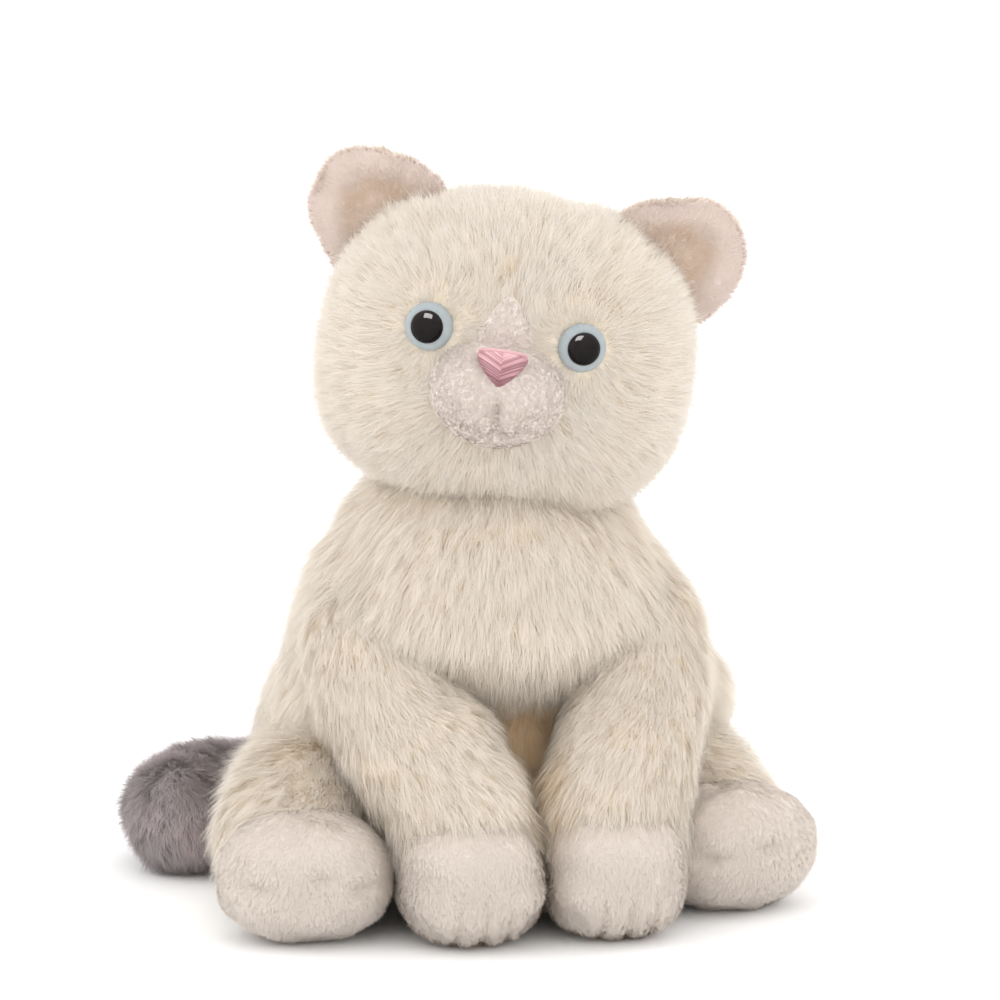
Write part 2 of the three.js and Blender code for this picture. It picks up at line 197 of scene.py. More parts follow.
def ring_faces(rings, columns, base=0):
    """Quads between rings of points laid one after another, and a fan to one more point at each end."""
    here = np.arange(columns)
    after = (here + 1) % columns
    row = base + columns * np.arange(rings - 1)[:, None]
    corners = [row + here, row + after, row + columns + after, row + columns + here]
    quads = np.stack(np.broadcast_arrays(*corners), axis=-1).reshape(-1, 4)
    end = base + columns * rings
    last = end - columns
    first_fan = np.stack([np.full(columns, end), base + after, base + here], axis=1)
    last_fan = np.stack([np.full(columns, end + 1), last + here, last + after], axis=1)
    return quads, np.vstack([first_fan, last_fan])


def sphere_grid(columns, rows):
    """Points of a unit sphere with its poles on Z, with its faces."""
    polar = math.pi * np.arange(1, rows) / rows
    around = 2 * math.pi * np.arange(columns) / columns
    x = np.sin(polar)[:, None] * np.cos(around)
    y = np.sin(polar)[:, None] * np.sin(around)
    z = np.repeat(np.cos(polar)[:, None], columns, axis=1)
    points = np.vstack([np.stack([x, y, z], axis=-1).reshape(-1, 3), [(0, 0, 1)], [(0, 0, -1)]])
    quads, caps = ring_faces(rows - 1, columns)
    return points, quads[:, [0, 3, 2, 1]], caps[:, [0, 2, 1]]


def oval(half, square=2.0, columns=72, rows=48):
    """An ellipsoid, boxier as square grows."""
    points, quads, caps = sphere_grid(columns, rows)
    reach = (np.abs(points) ** square).sum(axis=1, keepdims=True) ** (-1 / square)
    return Surface(points * reach * half, quads, caps)


def limb(path, radii, columns=48, rows=72):
    """A round limb along a curve, closed like a ball at both ends, with its pile combed along it."""
    points, quads, caps = sphere_grid(columns, rows)
    polar = np.arccos(np.clip(points[:, 2], -1, 1))
    cap = math.pi / 4  # the angle of the grid that makes each rounded end
    along = np.clip((polar - cap) / (math.pi - 2 * cap), 0, 1)
    rise = np.minimum(np.minimum(polar, math.pi - polar) / cap, 1) * (math.pi / 2)
    centre = spline(path, along)
    radius = spline(np.asarray(radii)[:, None], along)
    step = 0.01
    tangent = unit(spline(path, along + step) - spline(path, along - step))
    side = unit(np.cross(tangent, (0.0, 0.0, 1.0)))
    up = np.cross(side, tangent)
    around = unit(points[:, :2])
    end = np.where(along > 0.5, 1, -1)[:, None]
    sine, cosine = np.sin(rise)[:, None], np.cos(rise)[:, None]
    placed = centre + tangent * cosine * radius * end
    placed += radius * sine * (side * around[:, :1] + up * around[:, 1:])
    surface = Surface(placed, quads, caps)
    surface.flow = tangent
    surface.along = along
    return surface


def on_floor(surface, height=FLOOR_CLEARANCE):
    """Press a surface flat where it would pass below a height."""
    surface.points[:, 2] = np.maximum(surface.points[:, 2], height)
    return surface


# ---- Mesh objects ----
def new_object(name, data, material=None):
    piece = bpy.data.objects.new(name, data)
    bpy.context.scene.collection.objects.link(piece)
    if material:
        data.materials.append(material)
    return piece


def fill_mesh(name, points, corner_lists):
    """A mesh from points in millimetres and arrays of faces, each array with its own number of corners."""
    mesh = bpy.data.meshes.new(name)
    mesh.vertices.add(len(points))
    mesh.vertices.foreach_set("co", (points * MM).astype(np.float32).ravel())
    loops = np.concatenate([corners.ravel() for corners in corner_lists])
    sizes = np.concatenate([np.full(len(corners), corners.shape[1]) for corners in corner_lists])
    mesh.loops.add(len(loops))
    mesh.loops.foreach_set("vertex_index", loops.astype(np.int32))
    mesh.polygons.add(len(sizes))
    mesh.polygons.foreach_set("loop_start", (np.cumsum(sizes) - sizes).astype(np.int32))
    mesh.polygons.foreach_set("use_smooth", np.ones(len(sizes), bool))
    mesh.update(calc_edges=True)
    return mesh, loops


def skin_piece(name, surface, material, body, nodes):
    """A surface as a piece on a body, in place of CAD nodes."""
    mesh, _ = fill_mesh(name, surface.points, [surface.quads, surface.caps])
    piece = new_object(name, mesh, material)
    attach(piece, body)
    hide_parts(*nodes)
    return piece


# ---- Pile: real tapered strands, grown in tufts ----
LONG_PILE = {"length": 11.5, "width": 0.08, "lift": 0.34, "density": 4.6, "tuft": 10, "spread": 1.9,
             "gather": 0.22, "stray": 0.15, "rough": 0.08, "roll": 0.35, "mottle": 0.07, "segments": 3}
SHORT_PILE = {"length": 2.2, "width": 0.12, "lift": 0.3, "density": 9.0, "tuft": 2, "spread": 0.5,
              "gather": 0.1, "stray": 0.5, "rough": 0.07, "roll": 0.12, "mottle": 0.02, "segments": 2}
PAW_PILE = dict(SHORT_PILE, length=2.6, lift=0.4)
EAR_BACK_PILE = dict(LONG_PILE, length=8.5)
TAIL_PILE = dict(LONG_PILE, length=7, lift=0.5, stray=0.3)
STRANDS_PER_PIECE = 36000
ROOT_DEPTH = 0.2
TUFT_LENGTH_SPREAD = 0.13
TUFT_LIFT_SPREAD = 0.2
STRAND_LENGTH_SPREAD = 0.1
STRAND_LIFT_SPREAD = 0.18
STRAND_SWAY = 0.13
STRAND_TAPER = np.array([0.9, 0.95, 0.65])
TONE_RANGE = (0.02, 0.95)
EDGE_TONE = 0.02  # how much lighter one edge of a strand is than the other


def scatter(surface, density, random):
    """Random places on a surface with their normal, flow, length, lift and tone."""
    triangles = surface.triangles()
    corners = surface.points[triangles]
    area = np.linalg.norm(np.cross(corners[:, 1] - corners[:, 0], corners[:, 2] - corners[:, 0]), axis=1) / 2
    share = area * (surface.cover / np.maximum(surface.length, 0.3))[triangles].mean(axis=1)
    count = int(density * share.sum())
    pick = triangles[random.choice(len(triangles), size=count, p=share / share.sum())]
    a, b = random.random((2, count))
    fold = a + b > 1
    a[fold], b[fold] = 1 - a[fold], 1 - b[fold]
    parts = np.stack([1 - a - b, a, b], axis=1)

    def at(values):
        return np.einsum("ij,ij...->i...", parts, values[pick])

    grown = [at(values) for values in (surface.flow, surface.length, surface.lift, surface.tone)]
    return at(surface.points), unit(at(surface.normals())), *grown


def strands(surface, pile, seed):
    """Points (strand, step, 3), half widths, side vectors, normals and tones of a surface's pile."""
    random = np.random.default_rng(seed)
    centre, up, flow, scale, steep, tone = scatter(surface, pile["density"] / pile["tuft"], random)
    along = unit(flow - dot(flow, up) * up)
    turn = random.normal(0, pile["stray"], (len(centre), 1))
    along = np.cos(turn) * along + np.sin(turn) * np.cross(up, along)
    tone = tone + random.normal(0, pile["mottle"], len(centre))
    tuft_length = scale * pile["length"] * (1 + random.normal(0, TUFT_LENGTH_SPREAD, len(centre)))
    tuft_lift = pile["lift"] * steep * (1 + random.normal(0, TUFT_LIFT_SPREAD, len(centre)))

    one = np.repeat(np.arange(len(centre)), pile["tuft"])
    count = len(one)
    up, along = up[one], along[one]
    side = np.cross(up, along)
    angle = random.uniform(0, 2 * math.pi, (count, 1))
    reach = pile["spread"] * np.sqrt(random.random((count, 1)))
    offset = reach * (np.cos(angle) * along + np.sin(angle) * side)
    root = centre[one] + offset - ROOT_DEPTH * up
    length = (tuft_length[one] * (1 + random.normal(0, STRAND_LENGTH_SPREAD, count)))[:, None, None]
    lift = (tuft_lift[one] * (1 + random.normal(0, STRAND_LIFT_SPREAD, count)))[:, None, None]
    sway = random.normal(0, STRAND_SWAY, count)[:, None, None]

    s = np.linspace(0, 1, pile["segments"] + 1)[None, :, None]
    forward = np.cos(lift) * (0.55 * s + 0.45 * s**2)
    rise = np.sin(lift) * (1.5 * s - 0.5 * s**2)
    curve = forward * along[:, None] + rise * up[:, None] + sway * s**2 * side[:, None]
    points = root[:, None] + length * curve - pile["gather"] * s**2 * offset[:, None]
    points[..., 2] = np.maximum(points[..., 2], FLOOR_CLEARANCE)

    roll = random.normal(0, pile["roll"], (count, 1))
    across = np.cos(roll) * side + np.sin(roll) * up
    taper = pile["width"] * STRAND_TAPER[: pile["segments"]]
    facing = unit(up + 0.15 * along + random.normal(0, pile["rough"], (count, 3)))
    tone = np.clip(tone[one] + random.normal(0, 0.6 * pile["mottle"], count), *TONE_RANGE)
    return points, taper, across, facing, tone


def pile_piece(name, surface, pile, material, body, seed):
    """Grow a surface's pile as one or more meshes of tapered blades."""
    points, taper, across, facing, tone = strands(surface, pile, seed)
    parts = math.ceil(len(points) / STRANDS_PER_PIECE)
    middle = points[:, 0].mean(axis=0)
    heading = np.arctan2(points[:, 0, 0] - middle[0], points[:, 0, 1] - middle[1])
    order = np.argsort(heading, kind="stable")
    for part, chosen in enumerate(np.array_split(order, parts)):
        label = name if parts == 1 else f"{name}_{part + 1}"
        piece = blades(label, points[chosen], taper, across[chosen], facing[chosen], tone[chosen], material)
        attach(piece, body)


def map_tones(mesh, loops, uv):
    """Store each point's tone, and its place from root to tip, as the mesh's UVs."""
    layer = mesh.uv_layers.new(name=PILE_MAP)
    layer.data.foreach_set("uv", uv[loops].astype(np.float32).ravel())


def blades(name, points, taper, across, facing, tone, material):
    """One object of flat strands, each a strip of quads with a triangle for its tip."""
    count, steps, _ = points.shape
    body_steps = steps - 1
    per = 2 * body_steps + 1
    vertices = np.empty((count, per, 3))
    half = taper[None, :, None] * across[:, None]
    vertices[:, 0 : per - 1 : 2] = points[:, :body_steps] - half
    vertices[:, 1:per:2] = points[:, :body_steps] + half
    vertices[:, -1] = points[:, -1]
    vertices[..., 2] = np.maximum(vertices[..., 2], FLOOR_CLEARANCE)
    start = (per * np.arange(count))[:, None, None]
    rungs = 2 * np.arange(body_steps - 1)[None, :, None]
    quads = (start + rungs + np.array([0, 2, 3, 1])).reshape(-1, 4)
    tips = (start[:, 0] + np.array([per - 3, per - 1, per - 2])).reshape(-1, 3)
    mesh, loops = fill_mesh(name, vertices.reshape(-1, 3), [quads, tips])
    u = np.repeat(tone[:, None], per, axis=1)
    u[:, 1:per:2] += EDGE_TONE
    v = np.append(np.repeat(np.arange(body_steps), 2), body_steps) / body_steps
    uv = np.stack([u, np.broadcast_to(v, u.shape)], axis=-1).reshape(-1, 2)
    map_tones(mesh, loops, uv)
    mesh.normals_split_custom_set_from_vertices(np.repeat(facing, per, axis=0))
    return new_object(name, mesh, material)


def furred(name, surface, fur, body, nodes, seed, skin="backing"):
    """A skin of a fur's cloth with the fur's pile grown on it."""
    skin_piece(f"{name}_{skin}", surface, fur["cloth"], body, nodes)
    pile_piece(f"{name}_pile", surface, fur["pile"], fur["strand"], body, seed)


# ---- Materials ----
def node_material(name, roughness, sheen=0.0):
    material = bpy.data.materials.new(name)
    material.use_nodes = True
    shader = material.node_tree.nodes["Principled BSDF"]
    shader.inputs["Roughness"].default_value = roughness
    shader.inputs["Sheen Weight"].default_value = sheen
    shader.inputs["Sheen Tint"].default_value = (1, 1, 1, 1)
    shader.inputs["Specular IOR Level"].default_value = 0.3
    return material, material.node_tree.nodes, material.node_tree.links, shader


def ramp(nodes, links, source, stops):
    """Colours picked by a source, from stops of position and colour."""
    node = nodes.new("ShaderNodeValToRGB")
    elements = node.color_ramp.elements
    while len(elements) < len(stops):
        elements.new(0.5)
    for element, (position, colour) in zip(elements, stops):
        element.position = position
        element.color = (*colour, 1)
    links.new(source, node.inputs["Fac"])
    return node.outputs["Color"]


def noise_grain(nodes, links, scale, detail=2):
    """Noise fixed to the object, of a scale given per metre."""
    place = nodes.new("ShaderNodeTexCoord")
    grain = nodes.new("ShaderNodeTexNoise")
    grain.inputs["Scale"].default_value = scale
    grain.inputs["Detail"].default_value = detail
    links.new(place.outputs["Object"], grain.inputs["Vector"])
    return grain.outputs["Fac"]


def pile_material(name, stops, tints, roughness=0.62, sheen=0.15, glow=0.4):
    """Pile coloured along each strand by stops, and strand by strand by tints. Light passes it."""
    material, nodes, links, shader = node_material(name, roughness, sheen)
    uv = nodes.new("ShaderNodeUVMap")
    uv.uv_map = PILE_MAP
    split = nodes.new("ShaderNodeSeparateXYZ")
    links.new(uv.outputs["UV"], split.inputs["Vector"])
    along = ramp(nodes, links, split.outputs["Y"], stops)
    tint = ramp(nodes, links, split.outputs["X"], tints)
    mix = nodes.new("ShaderNodeMix")
    mix.data_type = "RGBA"
    mix.blend_type = "MULTIPLY"
    mix.inputs["Factor"].default_value = 1
    links.new(along, mix.inputs["A"])
    links.new(tint, mix.inputs["B"])
    links.new(mix.outputs["Result"], shader.inputs["Base Color"])
    through = nodes.new("ShaderNodeBsdfTranslucent")
    links.new(mix.outputs["Result"], through.inputs["Color"])
    both = nodes.new("ShaderNodeMixShader")
    both.inputs["Fac"].default_value = glow
    links.new(shader.outputs["BSDF"], both.inputs[1])
    links.new(through.outputs["BSDF"], both.inputs[2])
    links.new(both.outputs["Shader"], nodes["Material Output"].inputs["Surface"])
    return material


def cloth_material(name, low, high, scale, bump_depth, roughness=0.85, sheen=0.1):
    """Backing cloth or flat pile: two tones of fine grain, with a bump to match."""
    material, nodes, links, shader = node_material(name, roughness, sheen)
    grain = noise_grain(nodes, links, scale, detail=6)
    colour = ramp(nodes, links, grain, [(0.3, low), (0.7, high)])
    links.new(colour, shader.inputs["Base Color"])
    height = nodes.new("ShaderNodeBump")
    height.inputs["Distance"].default_value = bump_depth * MM
    height.inputs["Strength"].default_value = 0.6
    links.new(grain, height.inputs["Height"])
    links.new(height.outputs["Normal"], shader.inputs["Normal"])
    return material


# The lowest tint, an orange tan, is painted warm shade: low tones mark the belly under the ruff, the brow
# crease and the arms' inner sides.
CREAM_TINTS = [
    (0.0, (1.0, 0.82, 0.57)),
    (0.35, (1.0, 0.965, 0.90)),
    (0.6, (1.0, 0.985, 0.965)),
    (1.0, (1, 0.99, 0.985)),
]
# The root stop is a darker warm tan: painted warm shade deep in the pile.
cream_pile = pile_material(
    "cream_long_pile",
    [(0.0, (0.97, 0.81, 0.54)), (0.35, (0.97, 0.915, 0.83)), (1.0, (0.985, 0.955, 0.915))],
    CREAM_TINTS,
)
# The head's pile is the cream pile a little darker all over: painted shade on the head, with the same darker
# warm roots.
shaded_head_pile = pile_material(
    "head_shaded_long_pile",
    [(0.0, (0.90, 0.77, 0.55)), (0.35, (0.94, 0.887, 0.806)), (1.0, (0.955, 0.925, 0.888))],
    CREAM_TINTS,
)
# The lowest tint, a warm tan, is painted shade: low tones mark the toe grooves, the sole dimples, and the
# inner sides and floor edges of paws and feet.
ivory_pile = pile_material(
    "ivory_short_pile",
    [(0.0, (0.80, 0.73, 0.66)), (0.5, (0.84, 0.775, 0.715)), (1.0, (0.86, 0.80, 0.75))],
    [(0.0, (0.92, 0.81, 0.70)), (0.45, (1.0, 0.98, 0.955)), (1.0, (1.0, 0.975, 0.975))],
    roughness=0.8,
    sheen=0.25,
    glow=0.15,
)
# The muzzle's pile is the ivory pile about a tenth darker: painted shade on the muzzle.
shaded_muzzle_pile = pile_material(
    "muzzle_shaded_short_pile",
    [(0.0, (0.68, 0.60, 0.545)), (0.5, (0.70, 0.625, 0.575)), (1.0, (0.715, 0.645, 0.60))],
    [(0.0, (0.88, 0.84, 0.82)), (0.4, (1.0, 0.985, 0.97)), (1.0, (1.06, 1.045, 1.02))],
    roughness=0.8,
    sheen=0.25,
    glow=0.1,
)
# The lowest tint, a tan, is painted shade in the ears' hollows.
pink_pile = pile_material(
    "ear_lining_pile",
    [(0.0, (0.78, 0.66, 0.58)), (0.5, (0.83, 0.73, 0.67)), (1.0, (0.86, 0.765, 0.72))],
    [(0.0, (0.88, 0.77, 0.64)), (0.5, (1.0, 0.965, 0.93)), (1.0, (1.0, 0.975, 0.975))],
    roughness=0.8,
    sheen=0.25,
    glow=0.1,
)
grey_pile = pile_material(
    "grey_long_pile",
    [(0.0, (0.34, 0.29, 0.29)), (0.4, (0.56, 0.50, 0.50)), (1.0, (0.66, 0.60, 0.60))],
    [(0.0, (0.8, 0.78, 0.78)), (0.5, (1, 1, 1)), (1.0, (1.2, 1.15, 1.16))],
)
cream_cloth = cloth_material("cream_backing", (0.92, 0.84, 0.71), (0.95, 0.89, 0.79), 900, 0.4)
ivory_cloth = cloth_material(
    "ivory_backing", (0.80, 0.73, 0.66), (0.84, 0.775, 0.715), 1100, 0.2, sheen=0.25
)
# The muzzle's backing is the ivory backing made darker to match: painted shade.
shaded_muzzle_cloth = cloth_material(
    "muzzle_backing", (0.69, 0.61, 0.555), (0.72, 0.645, 0.595), 1100, 0.2, sheen=0.25
)
pink_cloth = cloth_material("pink_backing", (0.78, 0.66, 0.58), (0.82, 0.71, 0.64), 1100, 0.2)
grey_cloth = cloth_material("grey_backing", (0.32, 0.28, 0.28), (0.42, 0.37, 0.37), 900, 0.4)

# Each fur: its backing cloth, how its pile grows, its strands' material, and its slot in the record.
CREAM_FUR = {"cloth": cream_cloth, "pile": LONG_PILE, "strand": cream_pile, "slot": "long_pile"}
HEAD_FUR = dict(CREAM_FUR, strand=shaded_head_pile)
EAR_BACK_FUR = dict(CREAM_FUR, pile=EAR_BACK_PILE)
PAW_FUR = {"cloth": ivory_cloth, "pile": PAW_PILE, "strand": ivory_pile, "slot": "short_pile"}
MUZZLE_FUR = {"cloth": shaded_muzzle_cloth, "pile": SHORT_PILE, "strand": shaded_muzzle_pile, "slot": "short_pile"}
LINING_FUR = {"cloth": pink_cloth, "pile": SHORT_PILE, "strand": pink_pile, "slot": "ear_lining"}
TAIL_FUR = {"cloth": grey_cloth, "pile": TAIL_PILE, "strand": grey_pile, "slot": "grey_pile"}


# ---- Head ----
HEAD_PLACE = (
    Matrix.Translation(HEAD_CENTRE) @ Matrix.Rotation(HEAD_TURN, 4, "Z") @ Matrix.Rotation(HEAD_TILT, 4, "Y")
)


def head_front(x, z):
    """How far forward (as y) the head's plain form reaches at places of the face."""
    square = HEAD_SQUARE + HEAD_JAW * np.clip(-z / HEAD_HALF[2], 0, 1)
    left = 1 - np.abs(x / HEAD_HALF[0]) ** square - np.abs(z / HEAD_HALF[2]) ** square
    return -HEAD_HALF[1] * np.maximum(left, 0) ** (1 / square)


def ellipsoid_front(x, z, centre, half):
    """The same for an ellipsoid, and 0 outside it."""
    left = 1 - ((x - centre[0]) / half[0]) ** 2 - ((z - centre[2]) / half[2]) ** 2
    return np.where(left > 0, centre[1] - half[1] * np.sqrt(np.maximum(left, 0)), 0)


# The muzzle panel's outline about its centre, as reach every 15 degrees from straight down to straight up.
# It is round below and narrows to a point between the eyes.
MUZZLE_OUTLINE = [16.7, 16.9, 17.4, 18.4, 19.8, 21.4, 22.4, 23.0, 23.0, 22.6, 22.6, 25.8, 33.4]


def muzzle_reach(angle):
    elevation = np.arcsin(np.clip(np.sin(angle), -1, 1))
    return spline(np.array(MUZZLE_OUTLINE)[:, None], 0.5 + elevation / math.pi)[:, 0]


def in_muzzle(local, low, high):
    """1 well inside the muzzle's outline and 0 outside, changing from low to high past the outline."""
    x, z = local[:, 0], local[:, 2] - MUZZLE_CENTRE[2]
    reach = muzzle_reach(np.arctan2(z, x))
    return (local[:, 1] < -20) * fade(np.hypot(x, z), reach + low, reach + high)


CHEEK_RISE = 2.2
CREASE_DEPTH = 3.0
SOCKET_DEPTH = 2.4


def head_surface():
    """The head, with cheeks, eye sockets and a slanting brow crease. Its pile fans from the face."""
    points, quads, caps = sphere_grid(120, 90)
    square = (HEAD_SQUARE + HEAD_JAW * np.clip(-points[:, 2], 0, 1))[:, None]
    reach = (np.abs(points) ** square).sum(axis=1, keepdims=True) ** (-1 / square)
    surface = Surface(points * reach * HEAD_HALF, quads, caps)
    local = surface.points
    x, y, z = local.T
    cheek = bump(np.abs(x), 44, 18) * bump(z, -14, 20) * smooth_step(-y, -10, 25)
    crease = bump(x + 3.2 - 0.66 * (z - 24.2), 0, 1.9) * bump(z, 24.2, 5.5) * (y < 0)
    sockets = sum(bump(np.hypot(x - s * EYE["x"], z - EYE["z"]), 0, 9) for s in SIDES.values()) * (y < 0)
    relief = CHEEK_RISE * cheek - CREASE_DEPTH * crease - SOCKET_DEPTH * sockets
    surface.points = local + surface.normals() * relief[:, None]
    surface.points[:, 2] += 0.6 * waves(local, 30, 3)
    surface.points[:, 0] = surface.points[:, 0] * 0.985 + 0.9

    front = y < 0
    surface.flow = unit(local - (0, -50, -4)) + (0, 0.4, -0.1)
    eyes = np.full(len(x), 99.0)
    for side in SIDES.values():
        from_eye = np.stack([x - side * EYE["x"], 0 * x, z - EYE["z"]], axis=1)
        distance = np.linalg.norm(from_eye, axis=1)
        near = (front * fade(distance, 9, 22))[:, None]
        surface.flow = surface.flow * (1 - near) + 1.1 * near * unit(from_eye)
        eyes = np.minimum(eyes, distance)
    eyes = np.where(front, eyes, 99)
    face = smooth_step(-y, 15, 40) * bump(np.hypot(x, z + 2), 0, 34)
    surface.length = 0.88 * (1 - 0.35 * face) * (1 - 0.4 * crease) * (0.42 + 0.58 * smooth_step(eyes, 7, 17))
    surface.cover = smooth_step(eyes, 6.6, 7.4) * (1 - in_muzzle(local, -6, -4))
    surface.lift = 1 + 0.4 * in_muzzle(local, 0, 7) * smooth_step(-z, -2, 8)
    # The brow crease gets a lower tone: painted shade in the crease.
    surface.tone = 0.6 + 0.06 * waves(local, 38, 5) - 0.75 * crease
    return surface.turned(HEAD_PLACE)


def head():
    surface = head_surface()
    furred("head", surface, HEAD_FUR, "head", ["head_skin"], seed=11)


LOBE_RISE = 1.6
GROOVE_DEPTH = 1.9
DIMPLE_DEPTH = 0.9
MOUTH_DEPTH = 1.0


def muzzle():
    """The short-pile panel with two lobes below the nose, a groove between them and a faint mouth."""
    points, quads, caps = sphere_grid(96, 48)
    angle = np.arctan2(points[:, 1], points[:, 0])
    front = points[:, 2] > 0
    spread = np.arccos(np.clip(np.abs(points[:, 2]), 0, 1)) / (math.pi / 2)
    reach = muzzle_reach(angle) * spread
    x = reach * np.cos(angle)
    z = reach * np.sin(angle) + MUZZLE_CENTRE[2]
    plain = head_front(x, z) + 0.8
    lobes = sum(bump(x, s * 9.5, 9) * bump(z, -12, 8.5) for s in SIDES.values())
    out = np.minimum(ellipsoid_front(x, z, MUZZLE_CENTRE, MUZZLE_HALF), plain)
    out = np.minimum(out, ellipsoid_front(x, z, BRIDGE_CENTRE, BRIDGE_HALF))
    groove = bump(x - 0.4, 0, 1.3) * smooth_step(-z, 7, 11) * fade(-z, 20, 24)
    dimples = sum(bump(np.hypot(x - s * 12, z + 15), 0, 3.2) for s in SIDES.values())
    mouth = bump(z + 21 - 0.012 * x**2, 0, 1.8) * fade(np.abs(x), 12, 17)
    within = fade(spread, 0.75, 1)
    relief = LOBE_RISE * lobes - GROOVE_DEPTH * groove - DIMPLE_DEPTH * dimples - MOUTH_DEPTH * mouth
    relief = relief * within + 0.35 * waves(np.stack([x, z, z * 0], 1), 9, 8) * within
    y = np.where(front, out - relief + 1.6 * smooth_step(spread, 0.88, 1), plain + 3 * within + 1.6)
    surface = Surface(np.stack([x, y, z], axis=1), quads[:, ::-1], caps[:, ::-1])
    for _ in range(3):
        surface.points = smoothed(surface)
    surface.flow = unit(np.stack([x, 0 * x, z - 4], axis=1)) + (0, 0, -0.5)
    drop = (NOSE["z"] + NOSE["up"] - z) / (NOSE["up"] + NOSE["down"])
    under_nose = (np.abs(x) < nose_outline(np.clip(drop, 0, 1)) + 0.2) * (drop > 0) * (drop < 1)
    surface.cover = front * (spread < 0.95) * (1.0 - under_nose)
    # Darker in the groove, the mouth and the dimples: painted shade in these dents. Lighter towards the top.
    surface.tone = 0.4 + 0.5 * smooth_step(z, -4, 14) - 0.5 * groove - 0.3 * mouth - 0.3 * dimples
    surface.length = 0.9 + 0.5 * smooth_step(spread, 0.75, 0.95)
    surface = surface.turned(HEAD_PLACE)
    furred("muzzle", surface, MUZZLE_FUR, "head", ["muzzle_panel"], seed=12)


def smoothed(surface, share=0.5):
    """The surface's points moved part of the way towards the mean of their neighbours."""
    total = np.zeros_like(surface.points)
    count = np.zeros((len(surface.points), 1))
    for faces in (surface.quads, surface.caps):
        for k in range(faces.shape[1]):
            a, b = faces[:, k], faces[:, (k + 1) % faces.shape[1]]
            np.add.at(total, a, surface.points[b])
            np.add.at(count, a, 1)
    return surface.points * (1 - share) + share * total / count


# ---- Eyes ----
def gloss_material(name, colour, deep, roughness, specular, grain):
    """Moulded plastic in two tones close to each other."""
    material, nodes, links, shader = node_material(name, roughness)
    shader.inputs["Specular IOR Level"].default_value = specular
    tones = ramp(nodes, links, noise_grain(nodes, links, grain), [(0.35, deep), (0.65, colour)])
    links.new(tones, shader.inputs["Base Color"])
    return material


def lathe(profile, place, columns=64):
    """A turned form from rows of radius and height, closed on its axis, with its height along local Z."""
    profile = np.asarray(profile, float)
    around = 2 * math.pi * np.arange(columns) / columns
    ring = np.stack([np.cos(around), np.sin(around)], axis=1)
    rows = [np.column_stack([ring * radius, np.full(columns, height)]) for radius, height in profile[1:-1]]
    points = np.vstack([*rows, [(0, 0, profile[0][1])], [(0, 0, profile[-1][1])]])
    return Surface(points, *ring_faces(len(rows), columns)).turned(place)


def eye_place(side):
    """Where an eye sits on the head, with local Z out of the face."""
    out = EYE["outward"] * side
    axis = Vector((math.sin(out), -math.cos(out), 0))
    up = Vector((0, 0, 1))
    across = up.cross(axis)
    x, z = EYE["x"] * side, EYE["z"]
    turn = Matrix((across, up, axis)).transposed().to_4x4()
    y = float(head_front(np.array([x]), np.array([z]))[0]) + 0.7
    return HEAD_PLACE @ Matrix.Translation((x, y, z)) @ turn


def eyes():
    """Each eye is a pale iris disc with a rolled rim and a black dome on it. Returns the domes."""
    blues = (0.37, 0.41, 0.425), (0.34, 0.38, 0.395)
    blacks = (0.004, 0.003, 0.003), (0.003, 0.002, 0.002)
    iris_blue = gloss_material("iris_plastic", *blues, roughness=0.35, specular=0.3, grain=500)
    pupil_black = gloss_material("pupil_plastic", *blacks, roughness=0.04, specular=0.12, grain=300)
    r, p = EYE["iris"], EYE["pupil"]
    rim = [(r + 0.1, 0.2), (r + 0.1, 1.2), (r - 0.15, 1.9), (r - 0.7, 2.45), (r - 1.5, 2.85), (p + 0.2, 3.1)]
    iris = [(0, -1.5), (r - 0.6, -1.5), *rim, (p - 0.4, 3.1), (0, 3.1)]
    dome = [(p * math.cos(a), 3.2 + 2.9 * math.sin(a)) for a in np.linspace(0, math.pi / 2, 14)[:-1]]
    pupil = [(0, 2.6), (p - 0.3, 2.6), (p, 2.8), *dome, (0, 6.1)]
    domes = []
    for name, side in SIDES.items():
        place = eye_place(side)
        for part, profile, material in (("iris", iris, iris_blue), ("pupil", pupil, pupil_black)):
            form = lathe(profile, place)
            nodes = [f"eye_{name}_{part}"]
            piece = skin_piece(f"{part}_{name}", form, material, "head", nodes)
        domes.append(piece)
    return domes


# ---- Nose: satin stitches over a pad ----
NOSE_HEIGHT = NOSE["up"] + NOSE["down"]
NOSE_THICKNESS = 2.4
STITCH_SLANT = math.radians(30)
STITCH_PITCH = 0.31
STITCH_RADIUS = 0.2
STITCH_SIDES = 7
BORDER_ROWS = (0.1, 0.55, 1.0)
STITCH_TONES = (0.02, 0.98)


def nose_outline(v):
    """Half width of the nose at a share v of the way down it, rounded at its corners and its foot."""
    corner = 1 - 0.16 * fade(v, 0, 0.14)
    return NOSE["half_width"] * corner * np.clip(1 - np.maximum(v, 0) ** 1.45, 0, 1) ** 0.8


def nose_rise(x, z):
    """How far the nose stands out at places inside its outline."""
    v = (NOSE["up"] - z) / NOSE_HEIGHT
    inside = np.clip(1 - (np.abs(x) / np.maximum(nose_outline(v), 0.01)) ** 2.6, 0, 1)
    ends = smooth_step(v, -0.15, 0.12) * fade(v, 0.8, 1.02)
    return NOSE_THICKNESS * np.sqrt(inside * ends)


def nose_front(x, z):
    """How far forward (as y) the muzzle and the bridge reach at a place below the nose."""
    x, z = np.atleast_1d(x), np.atleast_1d(z)
    return np.minimum(
        ellipsoid_front(x, z, MUZZLE_CENTRE, MUZZLE_HALF), ellipsoid_front(x, z, BRIDGE_CENTRE, BRIDGE_HALF)
    )[0]


